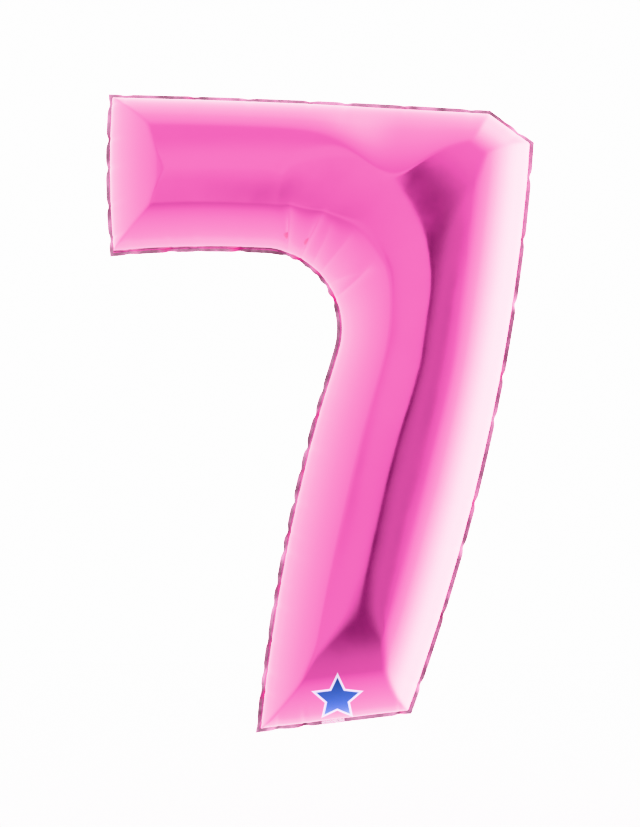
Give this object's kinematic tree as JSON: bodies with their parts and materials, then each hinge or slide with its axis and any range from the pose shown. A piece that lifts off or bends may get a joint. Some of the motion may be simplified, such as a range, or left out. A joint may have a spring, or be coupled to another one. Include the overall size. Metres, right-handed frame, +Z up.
{
  "type": "foil number balloon",
  "caption": "Inflated foil number balloon in the shape of a 7: two heat-sealed pink film panels, with a folding filling tab and a self-closing film valve at the foot.",
  "frame": {"origin": "middle of the foot's edge, where the filling tab folds and the holding ribbon is tied", "axes": "+Z up the figure, +X to the reader's right, the front film faces -Y; the seam lies in the plane Y = 0"},
  "size_m": [0.603, 0.168, 0.8995],
  "materials": {
    "pink_foil": "gloss",
    "clear_valve_film": "gloss"
  },
  "bodies": {
    "balloon": {"front_panel": "pink_foil", "rear_panel": "pink_foil", "valve_front_neck": "clear_valve_film", "valve_rear_neck": "clear_valve_film"},
    "valve_front_flap": {"valve_front_lip": "clear_valve_film"},
    "valve_rear_flap": {"valve_rear_lip": "clear_valve_film"},
    "filling_tab": {"tab_front_ply": "pink_foil", "tab_rear_ply": "pink_foil", "valve_front_mouth": "clear_valve_film", "valve_rear_mouth": "clear_valve_film"}
  },
  "joints": [
    {"name": "tab_fold", "type": "hinge", "parent": "balloon", "child": "filling_tab", "pos_m": [0, 0, 0], "axis": [-0.9925, 0, -0.1219], "range_deg": [0, 210]},
    {"name": "valve_front_open", "type": "hinge", "parent": "balloon", "child": "valve_front_flap", "pos_m": [-0.00077, 0, 0.00625], "axis": [0.9925, 0, 0.1219], "range_deg": [0, 3]},
    {"name": "valve_rear_open", "type": "hinge", "parent": "balloon", "child": "valve_rear_flap", "pos_m": [-0.00077, 0, 0.00625], "axis": [0.9925, 0, 0.1219], "range_deg": [-3, 0]}
  ],
  "couplings": [
    {"joint": "valve_rear_open", "follows": "valve_front_open", "ratio": -1}
  ]
}
